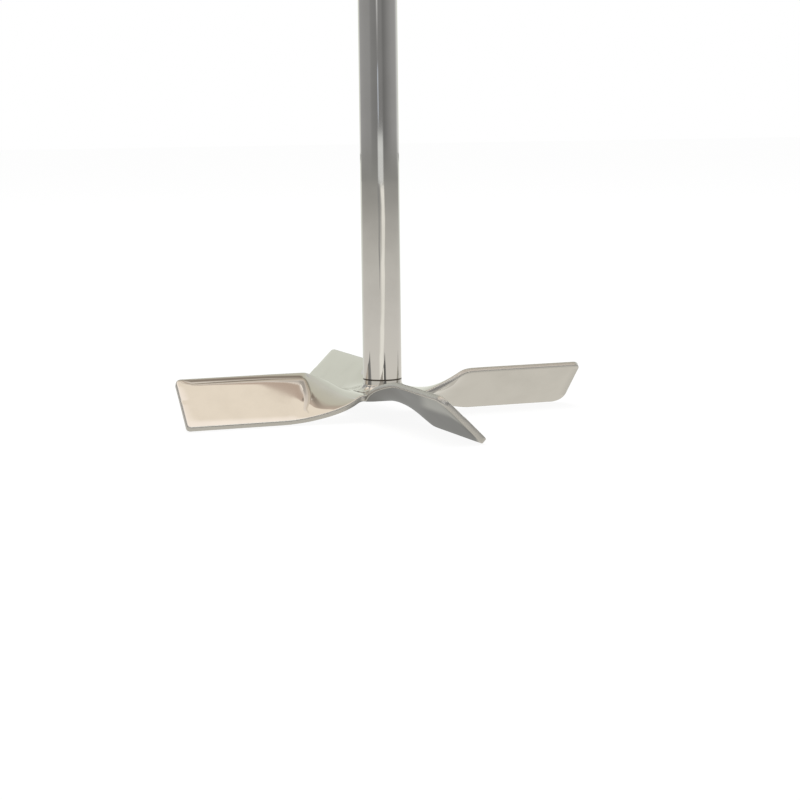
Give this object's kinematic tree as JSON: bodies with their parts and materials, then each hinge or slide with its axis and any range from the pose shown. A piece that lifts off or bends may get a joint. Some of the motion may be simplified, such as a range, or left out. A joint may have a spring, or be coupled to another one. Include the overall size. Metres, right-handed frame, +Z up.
{
  "type": "stirring propeller",
  "caption": "Laboratory stirring propeller: pitched blades twisted from one sheet, on the lower end of a long polished round shaft.",
  "frame": {"origin": "on the shaft's axis, level with the lower edges of the blades, which the part stands on", "axes": "+Z up along the shaft, towards the end that goes into the stirrer's chuck; +X along the blade with the rounder lower tip corner"},
  "size_m": [0.0864, 0.0864, 0.3057],
  "materials": {
    "polished_bar": "polished",
    "polished_sheet": "polished",
    "weld": "satin"
  },
  "bodies": {
    "root": {"shaft": "polished_bar", "propeller": "polished_sheet", "weld_fillet": "weld"}
  },
  "joints": []
}
